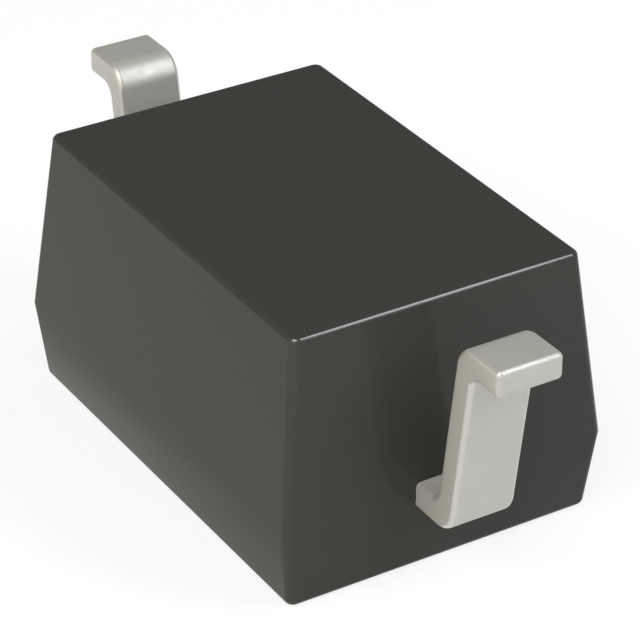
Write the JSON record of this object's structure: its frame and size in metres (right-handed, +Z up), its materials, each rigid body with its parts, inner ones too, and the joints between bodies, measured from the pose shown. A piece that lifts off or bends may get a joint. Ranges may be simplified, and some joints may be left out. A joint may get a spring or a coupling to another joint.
{
  "type": "tvs diode",
  "caption": "Surface-mount protection diode in a drafted moulded body with two gull-wing leads, lying belly up with its solder feet on top.",
  "frame": {"origin": "under the middle of the marking face, on the surface that the diode lies on, belly up", "axes": "+Z up through the belly, which faces the board in use; +X along the leads towards the anode; +Y across the body"},
  "size_m": [0.0026, 0.0012, 0.001],
  "materials": {
    "moulding_compound": "fine satin moulded epoxy",
    "tin_plating": "satin tin plating",
    "silicon": "polished silicon",
    "die_adhesive": "silver-filled adhesive",
    "gold_wire": "drawn gold wire"
  },
  "bodies": {
    "root": {"moulded_body": "moulding_compound", "cathode_lead": "tin_plating", "anode_lead": "tin_plating", "silicon_die": "silicon", "die_attach": "die_adhesive", "bond_wire": "gold_wire"}
  },
  "joints": []
}
